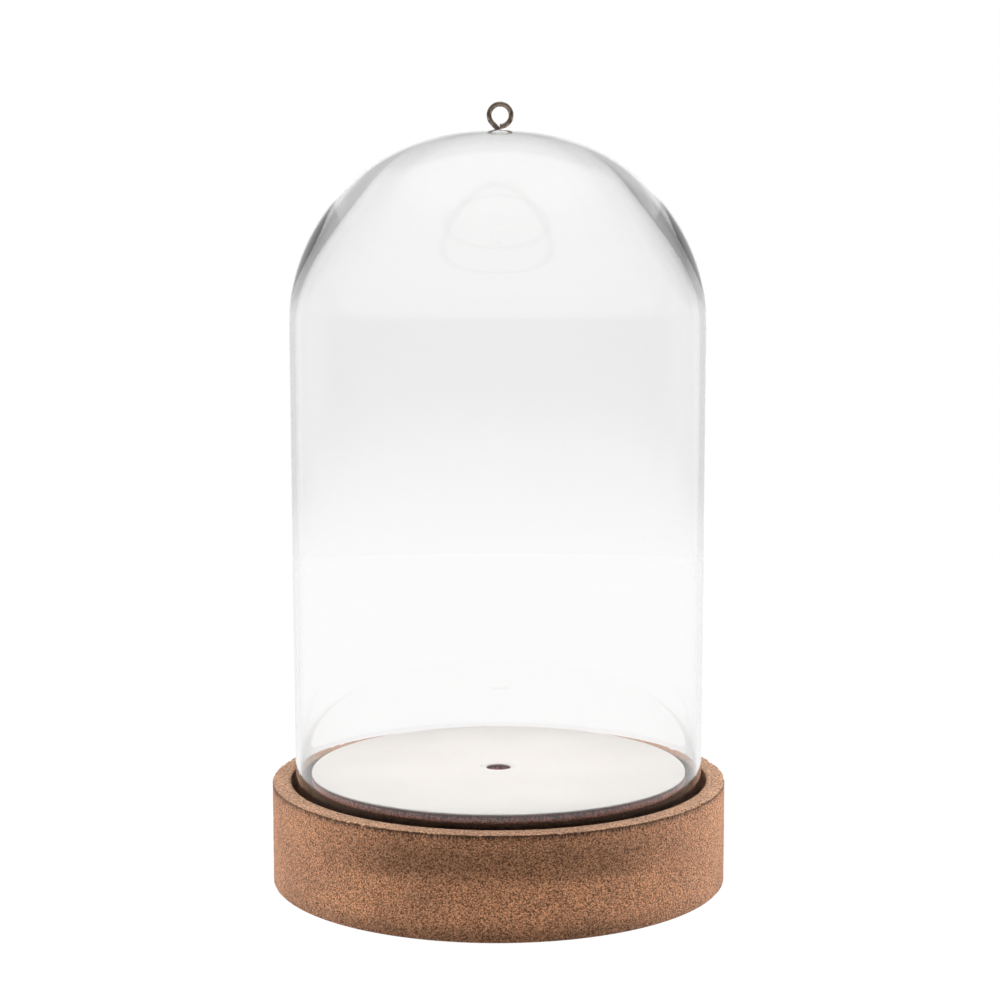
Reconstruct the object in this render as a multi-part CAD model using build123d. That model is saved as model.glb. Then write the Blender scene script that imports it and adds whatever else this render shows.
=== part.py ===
from build123d import *
from math import asin, atan2, cos, hypot, pi, radians, sin, sqrt
import os

# Bell jar dome for showing a small object: a thin blown-glass bell with a wire eye in its
# crown, standing in the groove of a round fibreboard base around a white display disc.
# Millimetres. +Z is up, the base stands on z = 0 and everything is round about the Z axis.

# Fibreboard base tray
BASE_D = 110.0
BASE_H = 24.6
RECESS_D = 101.0
RECESS_DEPTH = 10.0
EDGE_BREAK = 0.3
INNER_EDGE_BREAK = 0.2

# Display disc and its white facing
DISC_D = 91.0
DISC_T = 12.0
FACING_T = 0.3
FACING_CHAMFER = 0.08
PIN_HOLE_D = 6.0
SPIGOT_D = 30.0
SPIGOT_H = 3.0
SPIGOT_GAP = 0.05

# Glass dome, outside: a nearly straight wall, a round shoulder, a tighter knuckle and a flat crown
FOOT_R = 49.3
SHOULDER_START_R = 49.8
SHOULDER_START_Z = 134.0
SHOULDER_R = 46.3
KNUCKLE_R = 18.0
APEX_Z = 180.15

# Glass dome, inside: a thin wall that swells round the shoulder and thins again to the crown
FOOT_WALL = 1.1
FOOT_EDGE_BREAK = 0.3
WALL_TOP = 1.5
SHOULDER_SWELL = 2.1
CROWN_THINNING = 0.15
INNER_STEPS = 12

# Crown plug
PLUG_D = 4.0
PLUG_GAP = 0.05
PLUG_FLANGE_D = 6.6
PLUG_FLANGE_T = 1.2
PLUG_CHAMFER = 0.2
PLUG_SEAT_GAP = 0.01

# Wire eye and its collar
WIRE_D = 1.2
LOOP_R = 2.6
LOOP_OFFSET_X = 0.65
LOOP_RISE = 3.76
BEND_RISE = 0.75
BEND_R = 0.75
LOOP_END_ANGLE = -91.0
SHANK_LENGTH = 1.6
SHANK_GAP = 0.05
BORE_EXTRA_DEPTH = 0.05
THREAD_D = 1.6
THREAD_PITCH = 0.4
THREAD_HALF_WIDTH = 0.14
THREAD_ROOT = 0.05
COLLAR_D = 2.4
COLLAR_T = 0.4
COLLAR_CHAMFER = 0.1

# Levels that follow from the sizes above
FLOOR_Z = BASE_H - RECESS_DEPTH
DISC_TOP_Z = FLOOR_Z + DISC_T
FACING_TOP_Z = DISC_TOP_Z + FACING_T
CEILING_Z = SHOULDER_START_Z + SHOULDER_R - WALL_TOP + CROWN_THINNING

# How far a cutting cylinder runs past the face that it opens
PAST = 1.0


def disc(diameter, bottom_z, top_z):
    """A plain upright cylinder between two levels."""
    height = top_z - bottom_z
    return Pos(0, 0, bottom_z + height / 2) * Cylinder(diameter / 2, height)


def on_arc(centre, radius, angle):
    """Point of an arc, angles from the +radius direction."""
    return centre[0] + radius * cos(angle), centre[1] + radius * sin(angle)


def outer_outline():
    """Shoulder arc and tangent knuckle arc: start, middle, join, middle and the crown's edge."""
    shoulder = (SHOULDER_START_R - SHOULDER_R, SHOULDER_START_Z)
    rise = APEX_Z - KNUCKLE_R - SHOULDER_START_Z
    reach = sqrt((SHOULDER_R - KNUCKLE_R) ** 2 - rise ** 2)
    knuckle = (shoulder[0] + reach, APEX_Z - KNUCKLE_R)
    lean = atan2(rise, reach)
    return [
        on_arc(shoulder, SHOULDER_R, 0),
        on_arc(shoulder, SHOULDER_R, lean / 2),
        on_arc(shoulder, SHOULDER_R, lean),
        on_arc(knuckle, KNUCKLE_R, (lean + radians(90)) / 2),
        on_arc(knuckle, KNUCKLE_R, radians(90)),
    ]


def inner_outline():
    """Points inside the shoulder, from the wall's top to the edge of the flat ceiling."""
    shoulder = (SHOULDER_START_R - SHOULDER_R, SHOULDER_START_Z)
    points = []
    for step in range(INNER_STEPS + 1):
        way = step / INNER_STEPS
        wall = WALL_TOP + SHOULDER_SWELL * sin(pi * way) ** 2 - CROWN_THINNING * way
        points.append(on_arc(shoulder, SHOULDER_R - wall, radians(90 * way)))
    return points


def make_glass_dome():
    """Lathe-shaped glass bell with a ground foot and a drilled crown."""
    o_start, o_mid, o_join, o_knuckle, o_crown = outer_outline()
    inner = inner_outline()
    inner_foot_r = FOOT_R - FOOT_WALL
    with BuildPart() as dome:
        with BuildSketch(Plane.XZ):
            with BuildLine():
                Polyline(
                    (inner_foot_r, FLOOR_Z + FOOT_EDGE_BREAK),
                    (inner_foot_r + FOOT_EDGE_BREAK, FLOOR_Z),
                    (FOOT_R - FOOT_EDGE_BREAK, FLOOR_Z),
                    (FOOT_R, FLOOR_Z + FOOT_EDGE_BREAK),
                    o_start)
                ThreePointArc(o_start, o_mid, o_join)
                ThreePointArc(o_join, o_knuckle, o_crown)
                Polyline(o_crown, (0, APEX_Z), (0, CEILING_Z), inner[-1])
                Spline(*reversed(inner), tangents=[(1, 0), (0, -1)])
                Line(inner[0], (inner_foot_r, FLOOR_Z + FOOT_EDGE_BREAK))
            make_face()
        revolve(axis=Axis.Z)
    hole = disc(PLUG_D + 2 * PLUG_GAP, CEILING_Z - PAST, APEX_Z + PAST)
    return dome.part - hole


def make_crown_plug():
    """Clear bush through the crown with a flange under it and a bore for the eye's shank."""
    seat_z = CEILING_Z - PLUG_SEAT_GAP
    barrel = disc(PLUG_D, seat_z - PLUG_FLANGE_T, APEX_Z)
    flange = disc(PLUG_FLANGE_D, seat_z - PLUG_FLANGE_T, seat_z)
    flange = chamfer(flange.edges().filter_by(GeomType.CIRCLE), PLUG_CHAMFER)
    bore = disc(THREAD_D + 2 * SHANK_GAP, APEX_Z - SHANK_LENGTH - BORE_EXTRA_DEPTH, APEX_Z + PAST)
    return barrel + flange - bore


def make_eye_collar():
    """Small turned washer between the crown and the eye."""
    collar = disc(COLLAR_D, APEX_Z, APEX_Z + COLLAR_T)
    collar = chamfer(collar.edges().group_by(Axis.Z)[-1], COLLAR_CHAMFER)
    return collar - disc(WIRE_D + 2 * SHANK_GAP, APEX_Z - PAST, APEX_Z + COLLAR_T + PAST)


def make_screw_eye():
    """Wire bent from an upright shank through a slanting leg into an open round loop."""
    bend = Vector(0, 0, APEX_Z + BEND_RISE)
    centre = Vector(LOOP_OFFSET_X, 0, APEX_Z + LOOP_RISE)
    span = hypot(centre.X - bend.X, centre.Z - bend.Z)
    aim = atan2(centre.Z - bend.Z, centre.X - bend.X) + asin(LOOP_R / span)
    leg = sqrt(span ** 2 - LOOP_R ** 2)
    touch = bend + Vector(cos(aim), 0, sin(aim)) * leg
    start_angle = atan2(touch.Z - centre.Z, touch.X - centre.X)
    if start_angle < 0:
        start_angle += radians(360)
    end_angle = radians(LOOP_END_ANGLE)
    mid_angle = (start_angle + end_angle) / 2

    def on_loop(angle):
        return centre + Vector(cos(angle), 0, sin(angle)) * LOOP_R

    turn = aim - radians(90)
    trim = BEND_R * sin(turn / 2) / cos(turn / 2)
    bend_in = bend - Vector(0, 0, trim)
    bend_out = bend + Vector(cos(aim), 0, sin(aim)) * trim
    hub = bend_in - Vector(BEND_R, 0, 0)
    bend_mid = hub + Vector(cos(turn / 2), 0, sin(turn / 2)) * BEND_R
    foot = Vector(0, 0, APEX_Z - SHANK_LENGTH)
    with BuildPart() as eye:
        with BuildLine():
            Line(foot, bend_in)
            ThreePointArc(bend_in, bend_mid, bend_out)
            Line(bend_out, touch)
            ThreePointArc(touch, on_loop(mid_angle), on_loop(end_angle))
        with BuildSketch(Plane(origin=foot, z_dir=(0, 0, 1))):
            Circle(WIRE_D / 2)
        sweep()
    thread_z = APEX_Z - SHANK_LENGTH + THREAD_PITCH
    thread_h = SHANK_LENGTH - 2.5 * THREAD_PITCH
    path = Pos(0, 0, thread_z) * Helix(THREAD_PITCH, thread_h, WIRE_D / 2 - THREAD_ROOT)
    depth = (THREAD_D - WIRE_D) / 2 + THREAD_ROOT
    root = path @ 0
    ridge_plane = Plane(origin=root, x_dir=(1, 0, 0), z_dir=path % 0)
    ridge = ridge_plane * Polygon(
        (0, -THREAD_HALF_WIDTH), (depth, 0), (0, THREAD_HALF_WIDTH), align=None)
    thread = sweep(ridge, path=path, is_frenet=True)
    return eye.part + thread


def make_base_tray():
    """Round fibreboard tray with a flat-floored recess and a socket for the disc's spigot."""
    body = disc(BASE_D, 0, BASE_H)
    body = chamfer(body.edges().filter_by(GeomType.CIRCLE), EDGE_BREAK)
    recess = disc(RECESS_D, FLOOR_Z, BASE_H + PAST)
    mouth = Pos(0, 0, BASE_H - INNER_EDGE_BREAK / 2) * Cone(
        RECESS_D / 2, RECESS_D / 2 + INNER_EDGE_BREAK, INNER_EDGE_BREAK)
    socket = disc(SPIGOT_D + 2 * SPIGOT_GAP, FLOOR_Z - SPIGOT_H, FLOOR_Z + PAST)
    return body - recess - mouth - socket


def make_display_disc():
    """Fibreboard disc with a spigot below and the display pin's hole through its middle."""
    body = disc(DISC_D, FLOOR_Z, DISC_TOP_Z)
    spigot = disc(SPIGOT_D, FLOOR_Z - SPIGOT_H, FLOOR_Z)
    hole = disc(PIN_HOLE_D, 0, DISC_TOP_Z + PAST)
    return body + spigot - hole


def make_disc_facing():
    """Thin white sheet that covers the top of the disc."""
    sheet = disc(DISC_D, DISC_TOP_Z, FACING_TOP_Z)
    sheet = chamfer(sheet.edges().group_by(Axis.Z)[-1], FACING_CHAMFER)
    return sheet - disc(PIN_HOLE_D, 0, FACING_TOP_Z + PAST)


SUBPARTS = {
    "glass_dome": make_glass_dome,
    "crown_plug": make_crown_plug,
    "eye_collar": make_eye_collar,
    "screw_eye": make_screw_eye,
    "base_tray": make_base_tray,
    "display_disc": make_display_disc,
    "disc_facing": make_disc_facing,
}

os.makedirs("parts", exist_ok=True)
for node, make in SUBPARTS.items():
    solid = make()
    solid.label = node
    export_step(solid, f"parts/{node}.step")
    box = solid.bounding_box()
    print(node, len(solid.solids()), round(solid.volume, 2), box.min, box.max)
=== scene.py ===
import math
import random

import bpy
from mathutils import Matrix, Vector, noise


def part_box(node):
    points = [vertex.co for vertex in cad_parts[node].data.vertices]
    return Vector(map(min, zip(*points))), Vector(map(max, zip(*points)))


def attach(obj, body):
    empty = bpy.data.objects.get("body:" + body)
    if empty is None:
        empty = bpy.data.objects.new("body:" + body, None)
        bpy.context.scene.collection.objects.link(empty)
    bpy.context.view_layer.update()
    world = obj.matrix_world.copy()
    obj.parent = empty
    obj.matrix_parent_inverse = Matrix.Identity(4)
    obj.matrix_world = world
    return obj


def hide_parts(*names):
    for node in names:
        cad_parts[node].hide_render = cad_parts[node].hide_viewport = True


# Looks for the bell jar dome: blown glass, machined fibreboard, a white display disc and a
# bent wire eye. Metres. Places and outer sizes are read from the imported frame, and the sizes
# named below repeat the part's own.

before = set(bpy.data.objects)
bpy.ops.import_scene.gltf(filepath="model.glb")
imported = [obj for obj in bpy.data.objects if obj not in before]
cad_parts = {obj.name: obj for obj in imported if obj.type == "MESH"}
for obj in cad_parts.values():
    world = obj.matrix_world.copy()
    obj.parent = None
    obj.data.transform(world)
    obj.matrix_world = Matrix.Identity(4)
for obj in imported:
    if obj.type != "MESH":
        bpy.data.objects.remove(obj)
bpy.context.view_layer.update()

MM = 0.001

# Camera: a long lens a little below the top of the glass, looking slightly down
LENS_MM = 81.1
SENSOR_MM = 36.0
CAMERA_SIDE = 0.0
CAMERA_DISTANCE = 538.9 * MM
CAMERA_HEIGHT = 158.0 * MM
CAMERA_DOWN = math.radians(6.94)
CAMERA_PAN = math.radians(0.05)
CAMERA_ROLL = math.radians(-0.1)

# Glass dome profile. The shoulder starts a fixed drop below the top of the crown.
FOOT_R = 49.3 * MM
FOOT_WALL = 1.1 * MM
SHOULDER_DROP = 46.15 * MM
SHOULDER_R = 46.3 * MM
KNUCKLE_R = 18.0 * MM
WALL_TOP = 1.5 * MM
SHOULDER_SWELL = 2.1 * MM
CROWN_THINNING = 0.15 * MM
CROWN_HOLE_R = 2.05 * MM
DOME_SEGMENTS = 320
SHOULDER_STEPS = 80
KNUCKLE_STEPS = 8
INNER_STEPS = 90
WALL_STEPS = 28
FOOT_STEPS = 10

# Fibreboard tray and disc, and the disc's white facing
RIM_R = 50.5 * MM
EDGE_BREAK = 0.3 * MM
SMALL_BREAK = 0.2 * MM
SOCKET_R = 15.05 * MM
SPIGOT_R = 15.0 * MM
PIN_HOLE_R = 3.0 * MM
FACING_EASE = 0.09 * MM
FACING_GAP = 0.005 * MM
TRAY_SEGMENTS = 1024
DISC_SEGMENTS = 720
CHIP_COUNT = 90
CHIP_WIDTHS_MM = (0.4, 1.3)
CHIP_DEPTHS_MM = (0.1, 0.32)

# Fibreboard grain, as noise scales, and the dark and light of its fibres
GRAIN_SCALE = 3000.0
FIBRE_SCALE = 1900.0
PIT_SCALE = 1250.0
BLOTCH_SCALE = 70.0
STREAK_SCALE = 45.0
TRAY_SIDE = ((0.105, 0.045, 0.02), (0.74, 0.37, 0.2))
TRAY_FACE = ((0.2, 0.1, 0.055), (0.76, 0.46, 0.29))
DISC_SIDE = ((0.32, 0.11, 0.085), (0.95, 0.41, 0.33))
# Near black of the painted shade in the groove and of the painted shadow on the disc's side
PAINTED_SHADE = (0.02, 0.01, 0.004)

# Crown plug and eye collar
BARREL_R = 2.0 * MM
BARREL_EASE = 0.15 * MM
PLUG_BORE_R = 0.85 * MM
FLANGE_T = 1.2 * MM
FLANGE_ROUND = 0.25 * MM
COLLAR_BORE_R = 0.65 * MM
COLLAR_ROUND = 0.12 * MM

# Wire eye
WIRE_R = 0.6 * MM
LOOP_R = 2.6 * MM
LOOP_OFFSET = 0.65 * MM
LOOP_RISE = 3.76 * MM
BEND_RISE = 0.75 * MM
BEND_R = 0.75 * MM
LOOP_END = math.radians(-91.0)
SHANK_LENGTH = 1.6 * MM
THREAD_PITCH = 0.4 * MM
THREAD_DEPTH = 0.2 * MM
THREAD_TIP_GAP = 0.2 * MM
THREAD_TOP_GAP = 0.25 * MM
TIP_TAPER = 0.35
BURR_LENGTH = 0.06 * MM
BURR_INSET = 0.08 * MM
WIRE_SIDES = 28
SHANK_STEPS = 70
BEND_STEPS = 8
LEG_STEPS = 6
LOOP_STEPS = 88

# Table
FLOOR_RINGS = (0.1, 0.25, 0.4, 0.56)
FLOOR_SEGMENTS = 128
FLOOR_GREY = 0.03
FLOOR_GLOW = 0.98


# ---------------------------------------------------------------- mesh helpers

def new_object(name, verts, faces, smooth=True):
    """A mesh object from plain lists, with its faces turned outwards."""
    mesh = bpy.data.meshes.new(name)
    mesh.from_pydata([tuple(v) for v in verts], [], faces)
    mesh.validate()
    for poly in mesh.polygons:
        poly.use_smooth = smooth
    obj = bpy.data.objects.new(name, mesh)
    bpy.context.scene.collection.objects.link(obj)
    return obj


def lathe(name, profile, segments, shape=None):
    """A closed solid turned about Z from a profile of (radius, height) points. The profile runs
    anticlockwise seen with the radius to the right: along the underside, up the outside and back.
    Points on the axis become one vertex. shape moves a vertex given its place."""
    verts = []
    rings = []
    for r, z in profile:
        if r < 1e-7:
            rings.append([len(verts)])
            verts.append(Vector((0, 0, z)))
            continue
        start = len(verts)
        for i in range(segments):
            a = 2 * math.pi * i / segments
            verts.append(Vector((r * math.cos(a), r * math.sin(a), z)))
        rings.append(list(range(start, start + segments)))
    closed = profile[0][0] > 1e-7 and profile[-1][0] > 1e-7
    pairs = list(zip(rings, rings[1:]))
    if closed:
        pairs.append((rings[-1], rings[0]))
    faces = []
    for low, high in pairs:
        for i in range(segments):
            j = (i + 1) % segments
            if len(low) == 1 and len(high) == 1:
                continue
            if len(low) == 1:
                faces.append((low[0], high[j], high[i]))
            elif len(high) == 1:
                faces.append((low[i], low[j], high[0]))
            else:
                faces.append((low[i], low[j], high[j], high[i]))
    if shape:
        verts = [shape(v) for v in verts]
    return new_object(name, verts, faces)


def line(a, b, count):
    """count points from a up to, but not including, b."""
    across, up = b[0] - a[0], b[1] - a[1]
    return [(a[0] + across * i / count, a[1] + up * i / count) for i in range(count)]


def arc(cx, cz, radius, start, end, count):
    """count points along an arc, angles from the +radius direction, not including its end."""
    return [(cx + radius * math.cos(start + (end - start) * i / count),
             cz + radius * math.sin(start + (end - start) * i / count)) for i in range(count)]


def set_slot(obj, material, body, slot, *nodes):
    """Gives a piece its material and its body, and hides the nodes it stands for. slot is not used."""
    obj.data.materials.clear()
    obj.data.materials.append(material)
    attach(obj, body)
    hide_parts(*nodes)


# ---------------------------------------------------------------- material helpers

class Nodes:
    """Short calls for building one node material."""

    def __init__(self, name):
        self.material = bpy.data.materials.new(name)
        self.material.use_nodes = True
        self.tree = self.material.node_tree
        self.tree.nodes.clear()
        self.out = self.tree.nodes.new("ShaderNodeOutputMaterial")
        self.bsdf = self.tree.nodes.new("ShaderNodeBsdfPrincipled")
        self.link(self.bsdf.outputs["BSDF"], self.out.inputs["Surface"])
        self.coord = self.tree.nodes.new("ShaderNodeTexCoord").outputs["Object"]

    def link(self, a, b):
        self.tree.links.new(a, b)

    def value(self, name, number):
        self.bsdf.inputs[name].default_value = number

    def new(self, kind, **settings):
        node = self.tree.nodes.new(kind)
        for key, val in settings.items():
            setattr(node, key, val)
        return node

    def put(self, socket, source):
        if isinstance(source, (int, float)):
            socket.default_value = source
        elif isinstance(source, tuple):
            full = len(source) == len(socket.default_value)
            socket.default_value = source if full else (*source, 1.0)
        else:
            self.link(source, socket)

    def math(self, operation, a, b=0.0):
        node = self.new("ShaderNodeMath", operation=operation)
        self.put(node.inputs[0], a)
        self.put(node.inputs[1], b)
        return node.outputs[0]

    def scaled(self, vector, scale):
        node = self.new("ShaderNodeVectorMath", operation="MULTIPLY")
        self.put(node.inputs[0], vector)
        node.inputs[1].default_value = scale
        return node.outputs[0]

    def noise(self, vector, scale, detail=2.0, roughness=0.5, distortion=0.0):
        node = self.new("ShaderNodeTexNoise")
        self.put(node.inputs["Vector"], vector)
        node.inputs["Scale"].default_value = scale
        node.inputs["Detail"].default_value = detail
        node.inputs["Roughness"].default_value = roughness
        node.inputs["Distortion"].default_value = distortion
        return node.outputs["Fac"]

    def voronoi(self, vector, scale):
        node = self.new("ShaderNodeTexVoronoi", feature="F1")
        self.put(node.inputs["Vector"], vector)
        node.inputs["Scale"].default_value = scale
        return node.outputs["Distance"]

    def span(self, source, low, high, to_low=0.0, to_high=1.0):
        node = self.new("ShaderNodeMapRange", interpolation_type="SMOOTHSTEP")
        self.put(node.inputs["Value"], source)
        node.inputs["From Min"].default_value = low
        node.inputs["From Max"].default_value = high
        node.inputs["To Min"].default_value = to_low
        node.inputs["To Max"].default_value = to_high
        return node.outputs[0]

    def mix(self, fac, a, b, blend="MIX"):
        node = self.new("ShaderNodeMix", data_type="RGBA", blend_type=blend)
        self.put(node.inputs[0], fac)
        self.put(node.inputs[6], a)
        self.put(node.inputs[7], b)
        return node.outputs[2]

    def grey(self, source):
        """A number as a colour."""
        node = self.new("ShaderNodeCombineXYZ")
        for socket in node.inputs:
            self.put(socket, source)
        return node.outputs[0]

    def axes(self):
        node = self.new("ShaderNodeSeparateXYZ")
        self.put(node.inputs[0], self.coord)
        return node.outputs

    def bump(self, height, distance, strength=1.0):
        node = self.new("ShaderNodeBump")
        node.inputs["Strength"].default_value = strength
        node.inputs["Distance"].default_value = distance
        self.put(node.inputs["Height"], height)
        self.link(node.outputs[0], self.bsdf.inputs["Normal"])


def glass_material():
    n = Nodes("clear_blown_glass")
    n.value("Base Color", (0.966, 0.966, 0.966, 1.0))
    n.value("Transmission Weight", 1.0)
    n.value("IOR", 1.5)
    n.value("Roughness", 0.0)
    return n.material


def nylon_material():
    n = Nodes("clear_nylon")
    n.value("Base Color", (0.96, 0.955, 0.94, 1.0))
    n.value("Transmission Weight", 0.9)
    n.value("IOR", 1.53)
    cloud = n.noise(n.coord, 900.0, 3.0)
    n.link(n.span(cloud, 0.3, 0.7, 0.05, 0.16), n.bsdf.inputs["Roughness"])
    return n.material


def wire_material():
    n = Nodes("darkened_steel_wire")
    streak = n.noise(n.scaled(n.coord, (1.0, 1.0, 0.35)), 5200.0, 4.0, 0.6)
    tarnish = n.noise(n.coord, 700.0, 3.0)
    colour = n.mix(n.span(tarnish, 0.35, 0.7), (0.46, 0.37, 0.3), (0.24, 0.18, 0.14))
    n.put(n.bsdf.inputs["Base Color"], colour)
    n.value("Metallic", 1.0)
    n.link(n.span(streak, 0.3, 0.75, 0.16, 0.3), n.bsdf.inputs["Roughness"])
    n.bump(streak, 0.01 * MM, 0.35)
    return n.material


def painted_side_shading(n, x, z, streak, bands):
    """Painted shade and light along the board's side: darker and lighter bands, strongest at the
    front and back, and painted shade at the foot where it meets the table."""
    wander = n.math("MULTIPLY", n.math("SUBTRACT", streak, 0.5), 5.0 * MM)
    level = n.math("ADD", z, wander)
    band_low, band_mid, band_high, band_top = bands
    across = n.span(n.math("ABSOLUTE", x), 20.0 * MM, 53.0 * MM, 1.0, -0.25)
    fade = n.span(level, band_low, band_mid, 0.2, -0.26)
    rise = n.span(level, band_high, band_top, 0.0, 0.2)
    shade = n.math("ADD", n.math("MULTIPLY", n.math("ADD", fade, rise), across), 1.0)
    # painted shade near the table, strongest at the front and back
    near_foot = n.span(z, 0.5 * MM, 5.5 * MM, 0.4, 0.0)
    foot = n.math("MULTIPLY", near_foot, n.math("ADD", across, 0.5))
    return n.math("SUBTRACT", shade, foot)


def fibreboard(name, side, top_z, faces=None, bands=None, recess_r=None, shadow=None):
    """Machined fibreboard: fine matted fibres, pits and, under a cut edge, torn fibre ticks.
    side and faces are the dark and light of the sides and of the upward faces. bands paints
    shade and light on the side between levels, and shade at its foot. recess_r paints shade on
    the wall and floor of a recess of that radius. shadow paints a shadow on the side below its
    second level, darkest below its first."""
    dark, light = side
    n = Nodes(name)
    x, y, z = n.axes()[:3]
    grain = n.noise(n.coord, GRAIN_SCALE, 3.0, 0.65, 0.3)
    fibre = n.noise(n.scaled(n.coord, (1.0, 1.0, 1.5)), FIBRE_SCALE, 4.0, 0.7, 0.6)
    blotch = n.noise(n.coord, BLOTCH_SCALE, 3.0, 0.55)
    streak = n.noise(n.scaled(n.coord, (1.0, 1.0, 3.0)), STREAK_SCALE, 3.0, 0.6)
    cells = n.voronoi(n.scaled(n.coord, (1.0, 1.0, 1.2)), PIT_SCALE)
    pits = n.span(cells, 0.05, 0.34, 1.0, 0.0)
    lift = n.math("ADD", n.math("MULTIPLY", grain, 0.55), n.math("MULTIPLY", fibre, 0.45))
    tone = n.span(lift, 0.4, 0.61)
    warm = n.mix(n.span(blotch, 0.3, 0.72), (0.88, 0.86, 0.85), (1.1, 1.07, 1.04))
    colour = n.mix(1.0, n.mix(tone, dark, light), warm, "MULTIPLY")
    # painted shade and light on the side, in bands and at the foot
    if bands is not None:
        shade = painted_side_shading(n, x, z, streak, bands)
        colour = n.mix(1.0, colour, n.grey(shade), "MULTIPLY")
    colour = n.mix(n.math("MULTIPLY", pits, 0.6), colour, tuple(c * 0.4 for c in dark))
    height = n.math("SUBTRACT", lift, n.math("MULTIPLY", pits, 0.4))
    ticks = n.noise(n.scaled(n.coord, (1.0, 1.0, 0.22)), FIBRE_SCALE, 3.0, 0.6)
    near_top = n.span(z, top_z - 1.7 * MM, top_z - 0.5 * MM)
    tick = n.math("MULTIPLY", n.span(ticks, 0.46, 0.56), near_top)
    seam = n.math("MULTIPLY", n.span(z, top_z - 0.75 * MM, top_z - 0.45 * MM), 0.8)
    tick = n.math("MAXIMUM", tick, seam)
    colour = n.mix(n.math("MULTIPLY", tick, 0.85), colour, tuple(c * 0.32 for c in dark))
    height = n.math("SUBTRACT", height, n.math("MULTIPLY", tick, 0.5))
    # painted shadow: the side darkened below the given levels, where the recess shades it
    if shadow is not None:
        colour = n.mix(n.span(z, *shadow, 0.95, 0.0), colour, PAINTED_SHADE)
    # painted shade: the recess's wall and floor darkened to near black, where shade falls in the
    # groove
    if recess_r is not None:
        squares = n.math("ADD", n.math("MULTIPLY", x, x), n.math("MULTIPLY", y, y))
        radius = n.math("SQRT", squares)
        within = n.span(radius, recess_r - 0.05 * MM, recess_r + 0.05 * MM, 0.78, 0.0)
        below = n.span(z, top_z - 2.2 * MM, top_z - 0.5 * MM, 1.0, 0.0)
        recess_shade = n.math("MULTIPLY", within, below)
        colour = n.mix(recess_shade, colour, PAINTED_SHADE)
    if faces is not None:
        geometry = n.new("ShaderNodeNewGeometry")
        normal = n.new("ShaderNodeSeparateXYZ")
        n.link(geometry.outputs["True Normal"], normal.inputs[0])
        upward = n.span(normal.outputs[2], 0.5, 0.85)
        face_dark, face_light = faces
        face = n.mix(n.span(fibre, 0.4, 0.6), face_dark, face_light)
        face = n.mix(1.0, face, warm, "MULTIPLY")
        # painted shade on the recess floor
        if recess_r is not None:
            face = n.mix(recess_shade, face, PAINTED_SHADE)
        colour = n.mix(upward, colour, face)
    n.put(n.bsdf.inputs["Base Color"], colour)
    n.link(n.span(lift, 0.2, 0.8, 0.95, 0.78), n.bsdf.inputs["Roughness"])
    n.value("Specular IOR Level", 0.2)
    n.value("Sheen Weight", 0.14)
    n.value("Sheen Roughness", 0.4)
    n.value("Sheen Tint", (0.95, 0.8, 0.7, 1.0))
    n.bump(height, 0.6 * MM, 1.0)
    return n.material


def facing_material():
    n = Nodes("white_facing")
    cloud = n.noise(n.coord, 45.0, 3.0, 0.5)
    speck_cells = n.voronoi(n.coord, 190.0)
    specks = n.span(speck_cells, 0.03, 0.06, 1.0, 0.0)
    fine = n.noise(n.coord, 1900.0, 3.0, 0.6)
    colour = n.mix(n.span(cloud, 0.3, 0.7), (0.845, 0.805, 0.765), (0.875, 0.835, 0.8))
    # painted light: the facing turns lighter towards the front, making up for the lesser light that
    # falls there
    front_painted_light = n.span(n.axes()[1], -42.0 * MM, -12.0 * MM, 1.0, 0.0)
    colour = n.mix(front_painted_light, colour, (0.965, 0.93, 0.89))
    colour = n.mix(n.math("MULTIPLY", specks, 0.35), colour, (0.62, 0.55, 0.5))
    n.put(n.bsdf.inputs["Base Color"], colour)
    n.link(n.span(fine, 0.3, 0.7, 0.5, 0.62), n.bsdf.inputs["Roughness"])
    n.value("Specular IOR Level", 0.3)
    n.bump(n.math("SUBTRACT", fine, specks), 0.03 * MM, 0.5)
    return n.material


# ---------------------------------------------------------------- glass dome

def outer_outline(start_r, start_z, apex_z):
    """From the wall's top round the shoulder and knuckle to the drilled hole."""
    shoulder = (start_r - SHOULDER_R, start_z)
    rise = apex_z - KNUCKLE_R - start_z
    reach = math.sqrt((SHOULDER_R - KNUCKLE_R) ** 2 - rise ** 2)
    lean = math.atan2(rise, reach)
    points = arc(*shoulder, SHOULDER_R, 0.0, lean, SHOULDER_STEPS)
    points += arc(shoulder[0] + reach, apex_z - KNUCKLE_R, KNUCKLE_R, lean, math.pi / 2,
                  KNUCKLE_STEPS)
    points += line((shoulder[0] + reach, apex_z), (CROWN_HOLE_R, apex_z), 8)
    points.append((CROWN_HOLE_R, apex_z))
    return points


def inner_outline(start_r, start_z):
    """Inside the shoulder, where the wall swells and thins again, to the drilled hole."""
    points = []
    for i in range(INNER_STEPS + 1):
        up = i / INNER_STEPS
        a = up * math.pi / 2
        wall = WALL_TOP + SHOULDER_SWELL * math.sin(math.pi * up) ** 2 - CROWN_THINNING * up
        r = SHOULDER_R - wall
        points.append((start_r - SHOULDER_R + r * math.cos(a), start_z + r * math.sin(a)))
    points.append((CROWN_HOLE_R, points[-1][1]))
    return points


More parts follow.
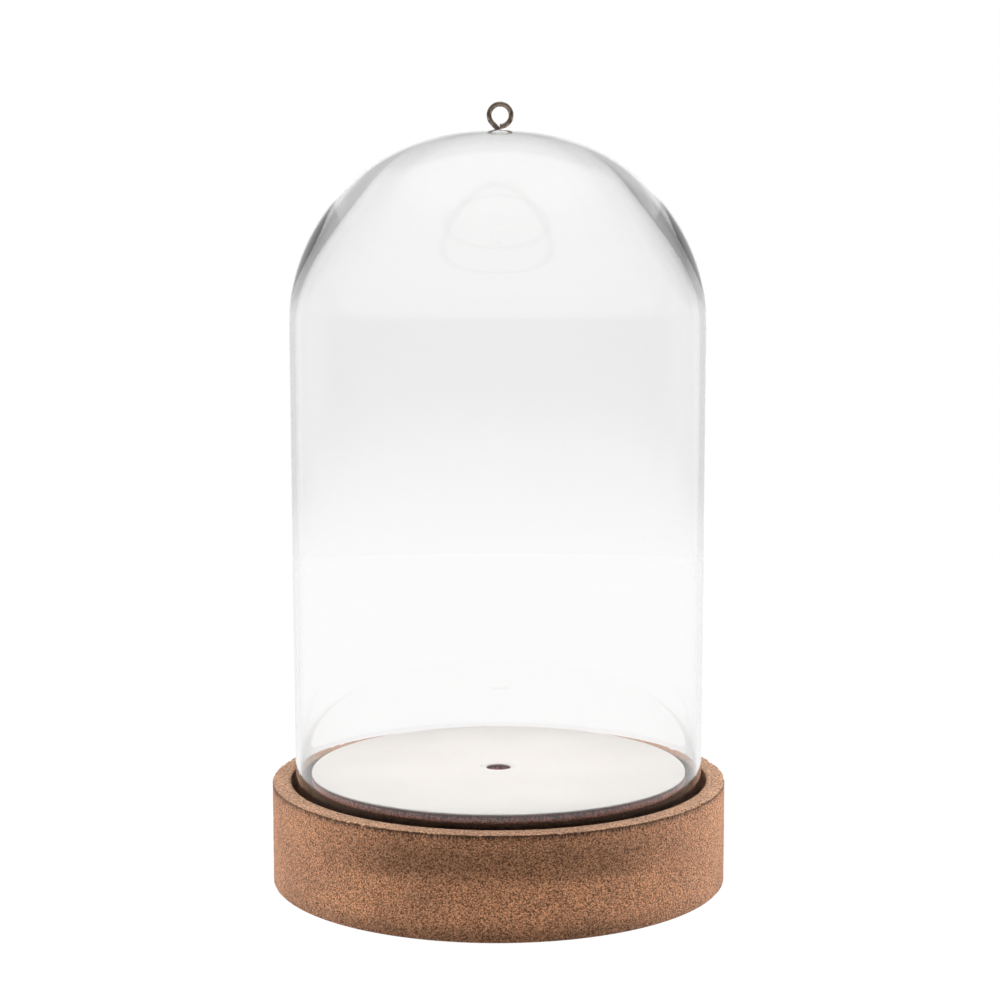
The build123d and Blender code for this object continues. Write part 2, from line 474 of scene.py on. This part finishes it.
def build_dome():
    lo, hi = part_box("glass_dome")
    foot_z = lo.z
    start_r = hi.x
    apex_z = hi.z
    start_z = apex_z - SHOULDER_DROP
    inner = inner_outline(start_r, start_z)
    inner_foot = FOOT_R - FOOT_WALL
    bead = FOOT_WALL / 2
    profile = arc(inner_foot + bead, foot_z + bead, bead, math.pi, 2 * math.pi, FOOT_STEPS)
    profile += line((FOOT_R, foot_z + bead), (start_r, start_z), WALL_STEPS)
    profile += outer_outline(start_r, start_z, apex_z)
    profile += list(reversed(inner))
    profile += line(inner[0], (inner_foot, foot_z + bead), WALL_STEPS)[1:]

    def shape(v):
        """Slow unevenness of blown glass, felt on the inside most."""
        r = math.hypot(v.x, v.y)
        if r < 6 * MM or v.z < foot_z + 3 * MM:
            return v
        height = (v.z - foot_z) / (apex_z - foot_z)
        a = math.atan2(v.y, v.x)
        swell = noise.noise(Vector((math.cos(a) * 1.3, math.sin(a) * 1.3, height * 2.2)))
        fine = noise.noise(Vector((math.cos(a) * 3.1 + 7, math.sin(a) * 3.1, height * 9.0)))
        push = (0.05 * swell + 0.018 * fine) * MM
        k = 1 + push / r
        return Vector((v.x * k, v.y * k, v.z))

    return lathe("glass_dome_blown", profile, DOME_SEGMENTS, shape)


# ---------------------------------------------------------------- fibreboard pieces

def build_tray():
    lo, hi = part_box("base_tray")
    outer_r = hi.x
    top = hi.z
    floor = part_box("glass_dome")[0].z
    socket_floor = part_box("display_disc")[0].z
    e = EDGE_BREAK
    profile = [(0.0, lo.z)] + line((SOCKET_R, lo.z), (outer_r - e, lo.z), 5)
    profile += line((outer_r - e, lo.z), (outer_r, lo.z + e), 2)
    profile += line((outer_r, lo.z + e), (outer_r, top - e), 62)
    profile += arc(outer_r - e, top - e, e, 0.0, math.pi / 2, 4)
    profile += line((outer_r - e, top), (RIM_R + SMALL_BREAK, top), 5)
    profile += [(RIM_R + SMALL_BREAK, top), (RIM_R, top - SMALL_BREAK)]
    profile += line((RIM_R, top - 0.4 * MM), (RIM_R, floor), 6)
    profile += line((RIM_R, floor), (SOCKET_R, floor), 4)
    profile += [(SOCKET_R, floor), (SOCKET_R, socket_floor), (0.0, socket_floor)]
    rng = random.Random(11)
    chips = [(rng.uniform(0, 2 * math.pi), rng.uniform(*CHIP_WIDTHS_MM) * MM,
              rng.uniform(*CHIP_DEPTHS_MM) * MM) for _ in range(CHIP_COUNT)]

    def shape(v):
        """Torn fibre and small chips at the outer edges, and a slightly furry side."""
        r = math.hypot(v.x, v.y)
        if r < outer_r - 2.2 * MM:
            return v
        a = math.atan2(v.y, v.x) % (2 * math.pi)
        out = 0.0
        drop = 0.0
        if v.z < top - 0.05 * MM and v.z > lo.z + 0.05 * MM:
            out += 0.035 * MM * noise.noise(Vector((v.x, v.y, v.z)) * 900)
            out += 0.03 * MM * noise.noise(Vector((v.x, v.y, v.z)) * 260)
        near_top = max(0.0, 1 - abs(v.z - top) / (1.1 * MM))
        if near_top > 0 and r > outer_r - 0.9 * MM:
            comb = max(0.0, noise.noise(Vector((v.x, v.y, 3.3)) * 700))
            out -= 0.2 * MM * comb * near_top
            for at, width, depth in chips:
                gap = abs((a - at + math.pi) % (2 * math.pi) - math.pi) * outer_r
                if gap < width:
                    bite = (1 - gap / width) * near_top
                    out -= depth * bite
                    drop += depth * 0.8 * bite
        k = (r + out - 0.03 * MM) / r
        return Vector((v.x * k, v.y * k, v.z - drop))

    return lathe("base_tray_turned", profile, TRAY_SEGMENTS, shape)


def build_disc():
    lo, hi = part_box("display_disc")
    outer_r = hi.x
    top = hi.z
    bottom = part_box("glass_dome")[0].z
    hole_r = PIN_HOLE_R
    profile = line((hole_r, lo.z), (SPIGOT_R, lo.z), 3)
    profile += line((SPIGOT_R, lo.z), (SPIGOT_R, bottom), 2)
    profile += line((SPIGOT_R, bottom), (outer_r - SMALL_BREAK, bottom), 3)
    profile += [(outer_r - SMALL_BREAK, bottom)]
    profile += line((outer_r, bottom + SMALL_BREAK), (outer_r, top), 40)
    profile += line((outer_r, top), (hole_r, top), 4)
    profile += line((hole_r, top), (hole_r, lo.z), 12)

    def shape(v):
        """Cutter marks and torn fibre down the edge, and a furry hole."""
        r = math.hypot(v.x, v.y)
        if v.z < bottom or (hole_r * 1.2 < r < outer_r - 0.5 * MM):
            return v
        a = math.atan2(v.y, v.x)
        comb = noise.noise(Vector((v.x, v.y, v.z * 0.12)) * 1100)
        if r > outer_r - 0.5 * MM:
            out = (0.07 * comb - 0.07) * MM
        else:
            out = 0.12 * MM * noise.noise(Vector((math.cos(a) * 4, math.sin(a) * 4, v.z * 300)))
        k = (r + out) / r
        return Vector((v.x * k, v.y * k, v.z))

    return lathe("display_disc_machined", profile, DISC_SEGMENTS, shape)


def build_facing():
    lo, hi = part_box("disc_facing")
    outer_r = hi.x
    hole_r = PIN_HOLE_R
    ease = FACING_EASE
    under = lo.z + FACING_GAP
    profile = [(hole_r, under), (outer_r, under), (outer_r, hi.z - ease)]
    profile += arc(outer_r - ease, hi.z - ease, ease, 0.0, math.pi / 2, 4)[1:]
    profile += line((outer_r - ease, hi.z), (hole_r + ease, hi.z), 24)
    profile += [(hole_r + ease, hi.z), (hole_r, hi.z - ease)]

    def shape(v):
        """A cut edge that is not quite even, a ragged hole and a gently uneven face."""
        r = math.hypot(v.x, v.y)
        a = math.atan2(v.y, v.x)
        out = 0.0
        if r > outer_r - 1 * MM:
            out = (0.05 * noise.noise(Vector((v.x, v.y, 0)) * 420) - 0.05) * MM
        elif r < hole_r + 1 * MM:
            out = 0.22 * MM * noise.noise(Vector((math.cos(a) * 2.4, math.sin(a) * 2.4, 5)))
        lift = 0.0
        if v.z > hi.z - 0.5 * ease:
            lift = -0.03 * MM * abs(noise.noise(Vector((v.x, v.y, 0)) * 60))
        k = (r + out) / r
        return Vector((v.x * k, v.y * k, v.z + lift))

    return lathe("disc_facing_sheet", profile, DISC_SEGMENTS, shape)


# ---------------------------------------------------------------- crown fittings

def build_plug():
    lo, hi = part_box("crown_plug")
    flange_r = hi.x
    flange_top = lo.z + FLANGE_T
    bore_end = hi.z - SHANK_LENGTH - 0.05 * MM
    e = FLANGE_ROUND
    ease = BARREL_EASE
    profile = [(0.0, lo.z)] + line((0.6 * MM, lo.z), (flange_r - e, lo.z), 3)
    profile += arc(flange_r - e, lo.z + e, e, -math.pi / 2, 0.0, 5)
    profile += arc(flange_r - e, flange_top - e, e, 0.0, math.pi / 2, 5)
    profile += [(flange_r - e, flange_top), (BARREL_R + 0.1 * MM, flange_top)]
    profile += [(BARREL_R, flange_top + 0.1 * MM)]
    profile += line((BARREL_R, flange_top + 0.2 * MM), (BARREL_R, hi.z - ease), 6)
    profile += arc(BARREL_R - ease, hi.z - ease, ease, 0.0, math.pi / 2, 4)
    profile += [(BARREL_R - ease, hi.z), (PLUG_BORE_R, hi.z), (PLUG_BORE_R, bore_end), (0.0, bore_end)]
    return lathe("crown_plug_moulded", profile, 96)


def build_collar():
    lo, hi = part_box("eye_collar")
    outer_r = hi.x
    bore_r = COLLAR_BORE_R
    e = COLLAR_ROUND
    profile = line((bore_r, lo.z), (outer_r - e, lo.z), 3)
    profile += arc(outer_r - e, lo.z + e, e, -math.pi / 2, 0.0, 5)
    profile += arc(outer_r - e, hi.z - e, e, 0.0, math.pi / 2, 5)
    profile += [(outer_r - e, hi.z), (bore_r + 0.05 * MM, hi.z), (bore_r, hi.z - 0.05 * MM)]
    return lathe("eye_collar_turned", profile, 72)


def eye_path(apex_z):
    """Centre line of the wire from the shank's tip to the loop's open end."""
    bend = Vector((0, 0, apex_z + BEND_RISE))
    centre = Vector((LOOP_OFFSET, 0, apex_z + LOOP_RISE))
    reach = centre - bend
    span = reach.length
    aim = math.atan2(reach.z, reach.x) + math.asin(LOOP_R / span)
    leg = math.sqrt(span ** 2 - LOOP_R ** 2)
    way = Vector((math.cos(aim), 0, math.sin(aim)))
    touch = bend + way * leg
    start = math.atan2(touch.z - centre.z, touch.x - centre.x) % (2 * math.pi)
    turn = aim - math.pi / 2
    trim = BEND_R * math.tan(turn / 2)
    bend_in = bend - Vector((0, 0, trim))
    hub = bend_in - Vector((BEND_R, 0, 0))
    foot = Vector((0, 0, apex_z - SHANK_LENGTH))
    points = [foot.lerp(bend_in, i / SHANK_STEPS) for i in range(SHANK_STEPS)]
    for i in range(BEND_STEPS + 1):
        a = turn * i / BEND_STEPS
        points.append(hub + Vector((math.cos(a), 0, math.sin(a))) * BEND_R)
    out = bend + way * trim
    points += [out.lerp(touch, i / LEG_STEPS) for i in range(1, LEG_STEPS)]
    for i in range(LOOP_STEPS + 1):
        a = start + (LOOP_END - start) * i / LOOP_STEPS
        points.append(centre + Vector((math.cos(a), 0, math.sin(a))) * LOOP_R)
    return points


def build_eye():
    """A round wire swept in its own plane, with a cut thread on the shank and a cropped end."""
    apex_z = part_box("eye_collar")[0].z
    points = eye_path(apex_z)
    sides = WIRE_SIDES
    verts = []
    faces = []
    y_axis = Vector((0, 1, 0))
    thread_low = apex_z - SHANK_LENGTH + THREAD_TIP_GAP
    thread_high = apex_z - THREAD_TOP_GAP
    for i, p in enumerate(points):
        ahead = points[min(i + 1, len(points) - 1)] - points[max(i - 1, 0)]
        tangent = ahead.normalized()
        side = tangent.cross(y_axis).normalized()
        for s in range(sides):
            a = 2 * math.pi * s / sides
            r = WIRE_R
            if thread_low < p.z < thread_high and abs(p.x) < 1e-6:
                phase = ((p.z - thread_low) / THREAD_PITCH - s / sides) % 1.0
                r += THREAD_DEPTH * (1 - abs(2 * phase - 1)) * 0.9
            if i == 0:
                r *= TIP_TAPER
            verts.append(p + (side * math.cos(a) + y_axis * math.sin(a)) * r)
    for i in range(len(points) - 1):
        for s in range(sides):
            t = (s + 1) % sides
            a, b = i * sides, (i + 1) * sides
            faces.append((a + s, a + t, b + t, b + s))
    # the shank's tip, then the loop's cropped end with its small burr
    verts.append(points[0])
    tip = len(verts) - 1
    for s in range(sides):
        faces.append((tip, (s + 1) % sides, s))
    last = (len(points) - 1) * sides
    end_dir = (points[-1] - points[-2]).normalized()
    ring = len(verts)
    for s in range(sides):
        a = 2 * math.pi * s / sides
        side = end_dir.cross(y_axis).normalized()
        verts.append(points[-1] + end_dir * BURR_LENGTH
                     + (side * math.cos(a) + y_axis * math.sin(a)) * (WIRE_R - BURR_INSET))
    for s in range(sides):
        t = (s + 1) % sides
        faces.append((last + s, last + t, ring + t, ring + s))
    verts.append(points[-1] + end_dir * BURR_LENGTH)
    for s in range(sides):
        faces.append((ring + s, ring + (s + 1) % sides, len(verts) - 1))
    return new_object("screw_eye_bent", verts, faces)


# ---------------------------------------------------------------- build and dress the object

dome = build_dome()
set_slot(dome, glass_material(), "dome", "clear_glass", "glass_dome")
plug = build_plug()
set_slot(plug, nylon_material(), "dome", "clear_nylon", "crown_plug")
wire = wire_material()
collar = build_collar()
set_slot(collar, wire, "dome", "eye_metal", "eye_collar")
eye = build_eye()
set_slot(eye, wire, "dome", "eye_metal", "screw_eye")

tray_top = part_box("base_tray")[1].z
tray = build_tray()
# the tray's side gets painted shade and light, and its recess painted shade
tray_finish = fibreboard("brown_fibreboard", TRAY_SIDE, tray_top, faces=TRAY_FACE, recess_r=RIM_R,
                         bands=(0.5 * tray_top, 0.66 * tray_top, 0.78 * tray_top, 0.93 * tray_top))
set_slot(tray, tray_finish, "base", "brown_fibreboard", "base_tray")
disc = build_disc()
disc_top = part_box("display_disc")[1].z
# the disc's side gets a painted shadow below the tray's top
disc_finish = fibreboard("bare_fibreboard", DISC_SIDE, disc_top,
                         shadow=(disc_top - 2.1 * MM, disc_top - 1.4 * MM))
set_slot(disc, disc_finish, "base", "bare_fibreboard", "display_disc")
facing = build_facing()
set_slot(facing, facing_material(), "base", "white_facing", "disc_facing")


# ---------------------------------------------------------------- stage, light and camera

def make_floor():
    """A round white table, lit so evenly that it runs into the white round it."""
    segments = FLOOR_SEGMENTS
    verts = [(0, 0, 0)]
    faces = []
    for r in FLOOR_RINGS:
        for i in range(segments):
            a = 2 * math.pi * i / segments
            verts.append((r * math.cos(a), r * math.sin(a), 0))
    for i in range(segments):
        faces.append((0, 1 + i, 1 + (i + 1) % segments))
    for k in range(len(FLOOR_RINGS) - 1):
        a, b = 1 + k * segments, 1 + (k + 1) * segments
        for i in range(segments):
            j = (i + 1) % segments
            faces.append((a + i, b + i, b + j, a + j))
    floor = new_object("floor", verts, faces, smooth=False)
    n = Nodes("white_table")
    n.value("Base Color", (FLOOR_GREY, FLOOR_GREY, FLOOR_GREY, 1.0))
    n.value("Roughness", 0.9)
    n.value("Specular IOR Level", 0.0)
    n.value("Emission Color", (1.0, 1.0, 1.0, 1.0))
    n.value("Emission Strength", FLOOR_GLOW)
    floor.data.materials.append(n.material)


# The studio seen from the object: azimuth from +Y towards +X, elevation, half width and soft
# edge in degrees, brightness. One set of panels lights the object, the other is what its
# glass and metal mirror. White is the backdrop, which runs all round.
WHITE = 1.0
THROUGH = 1.02
LIGHT_AMBIENT = 0.2
LIGHT_PANELS = [
    (0, 0, 30, 15, 0.7),
    (-66, 22, 24, 12, 6.0),
    (60, 13, 24, 12, 8.4),
    (0, 90, 36, 12, 1.9),
]
LIGHT_SHADE = (180, 0, 38, 20, 0.2)
MIRROR_BEHIND = (0.1, 0.7, 0.3, 0.58)
MIRROR_FRONT = (-0.35, 0.1, 0.2, 0.32)
MIRROR_LEVEL = (0.02, 0.3, 0.22, 0.0)
MIRROR_LEVEL_FADE = (0.1, 0.6, 0.0, 1.0)
MIRROR_PANELS = [
    (0, 74, 20, 30, 0.9),
    (0, 3, 12, 14, 1.2),
]
MIRROR_HIGH = (0.3, 0.6, 0.0, 0.42)
MIRROR_RIGHT = (43, 22, 9, 8, 0.4)
TABLE_GLARE = (-0.145, -0.03, 0.98, 0.0)


def direction(azimuth, elevation):
    a = math.radians(azimuth)
    e = math.radians(elevation)
    return (math.sin(a) * math.cos(e), math.cos(a) * math.cos(e), math.sin(e))


def make_world():
    """A soft white studio. Rays straight from the camera, and those that only pass through the
    glass, see the white backdrop; mirrored rays and the light see the panels."""
    world = bpy.data.worlds.new("studio")
    bpy.context.scene.world = world
    world.use_nodes = True
    tree = world.node_tree
    tree.nodes.clear()
    out = tree.nodes.new("ShaderNodeOutputWorld")
    background = tree.nodes.new("ShaderNodeBackground")
    tree.links.new(background.outputs[0], out.inputs[0])
    coord = tree.nodes.new("ShaderNodeTexCoord").outputs["Generated"]
    axes = tree.nodes.new("ShaderNodeSeparateXYZ")
    tree.links.new(coord, axes.inputs[0])
    path = tree.nodes.new("ShaderNodeLightPath").outputs

    def calc(operation, a, b):
        node = tree.nodes.new("ShaderNodeMath")
        node.operation = operation
        for socket, source in zip(node.inputs, (a, b)):
            if isinstance(source, (int, float)):
                socket.default_value = source
            else:
                tree.links.new(source, socket)
        return node.outputs[0]

    def span(source, low, high, to_low, to_high):
        node = tree.nodes.new("ShaderNodeMapRange")
        node.interpolation_type = "SMOOTHSTEP"
        tree.links.new(source, node.inputs["Value"])
        node.inputs["From Min"].default_value = low
        node.inputs["From Max"].default_value = high
        node.inputs["To Min"].default_value = to_low
        node.inputs["To Max"].default_value = to_high
        return node.outputs[0]

    def cone(azimuth, elevation, half_width, edge):
        """1 inside a round patch of the surroundings, 0 outside it."""
        dot = tree.nodes.new("ShaderNodeVectorMath")
        dot.operation = "DOT_PRODUCT"
        tree.links.new(coord, dot.inputs[0])
        dot.inputs[1].default_value = direction(azimuth, elevation)
        outer = math.cos(math.radians(half_width + edge))
        inner = math.cos(math.radians(half_width))
        return span(dot.outputs["Value"], outer, inner, 0.0, 1.0)

    def with_panels(value, panels):
        for *place, brightness in panels:
            value = calc("MAXIMUM", value, calc("MULTIPLY", cone(*place), brightness))
        return value

    def with_shades(value, shades):
        for *place, left in shades:
            lost = calc("MULTIPLY", cone(*place), 1.0 - left)
            value = calc("MULTIPLY", value, calc("SUBTRACT", 1.0, lost))
        return value

    def pick(choice, yes, no):
        """yes where choice is 1, no where it is 0."""
        otherwise = calc("MULTIPLY", calc("SUBTRACT", 1.0, choice), no)
        return calc("ADD", calc("MULTIPLY", choice, yes), otherwise)

    light = with_shades(with_panels(LIGHT_AMBIENT, LIGHT_PANELS), [LIGHT_SHADE])
    behind = span(axes.outputs[1], *MIRROR_BEHIND)
    level_fade = span(axes.outputs[1], *MIRROR_LEVEL_FADE)
    level = calc("MULTIPLY", span(axes.outputs[2], *MIRROR_LEVEL), level_fade)
    behind = calc("ADD", behind, level)
    front = span(axes.outputs[1], *MIRROR_FRONT)
    mirror = pick(calc("GREATER_THAN", axes.outputs[1], MIRROR_BEHIND[0]), behind, front)
    mirror = calc("MAXIMUM", mirror, span(axes.outputs[2], *MIRROR_HIGH))
    mirror = with_shades(with_panels(mirror, MIRROR_PANELS), [MIRROR_RIGHT])
    mirror = calc("MAXIMUM", mirror, span(axes.outputs[2], *TABLE_GLARE))
    bounced = calc("ADD", path["Diffuse Depth"], path["Glossy Depth"])
    unbounced = calc("LESS_THAN", bounced, 0.5)
    only_through = calc("MULTIPLY", path["Is Transmission Ray"], unbounced)
    only_mirrored = calc("MULTIPLY", calc("GREATER_THAN", path["Glossy Depth"], 0.5),
                         calc("LESS_THAN", path["Diffuse Depth"], 0.5))
    total = pick(only_mirrored, mirror, light)
    total = pick(only_through, THROUGH, total)
    total = pick(path["Is Camera Ray"], WHITE, total)
    tree.links.new(total, background.inputs["Strength"])
    background.inputs["Color"].default_value = (1, 1, 1, 1)


def make_camera():
    data = bpy.data.cameras.new("camera")
    data.lens = LENS_MM
    data.sensor_width = SENSOR_MM
    data.clip_start = 0.01
    data.clip_end = 200.0
    camera = bpy.data.objects.new("camera", data)
    bpy.context.scene.collection.objects.link(camera)
    ahead = Vector((math.sin(CAMERA_PAN), math.cos(CAMERA_DOWN), -math.sin(CAMERA_DOWN))).normalized()
    right = ahead.cross(Vector((0, 0, 1))).normalized()
    up = right.cross(ahead)
    rolled_right = right * math.cos(CAMERA_ROLL) + up * math.sin(CAMERA_ROLL)
    rolled_up = up * math.cos(CAMERA_ROLL) - right * math.sin(CAMERA_ROLL)
    turn = Matrix((rolled_right, rolled_up, -ahead)).transposed().to_4x4()
    place = Matrix.Translation((CAMERA_SIDE, -CAMERA_DISTANCE, CAMERA_HEIGHT))
    camera.matrix_world = place @ turn
    bpy.context.scene.camera = camera


make_floor()
make_world()
make_camera()
bpy.context.scene.view_settings.view_transform = "Standard"
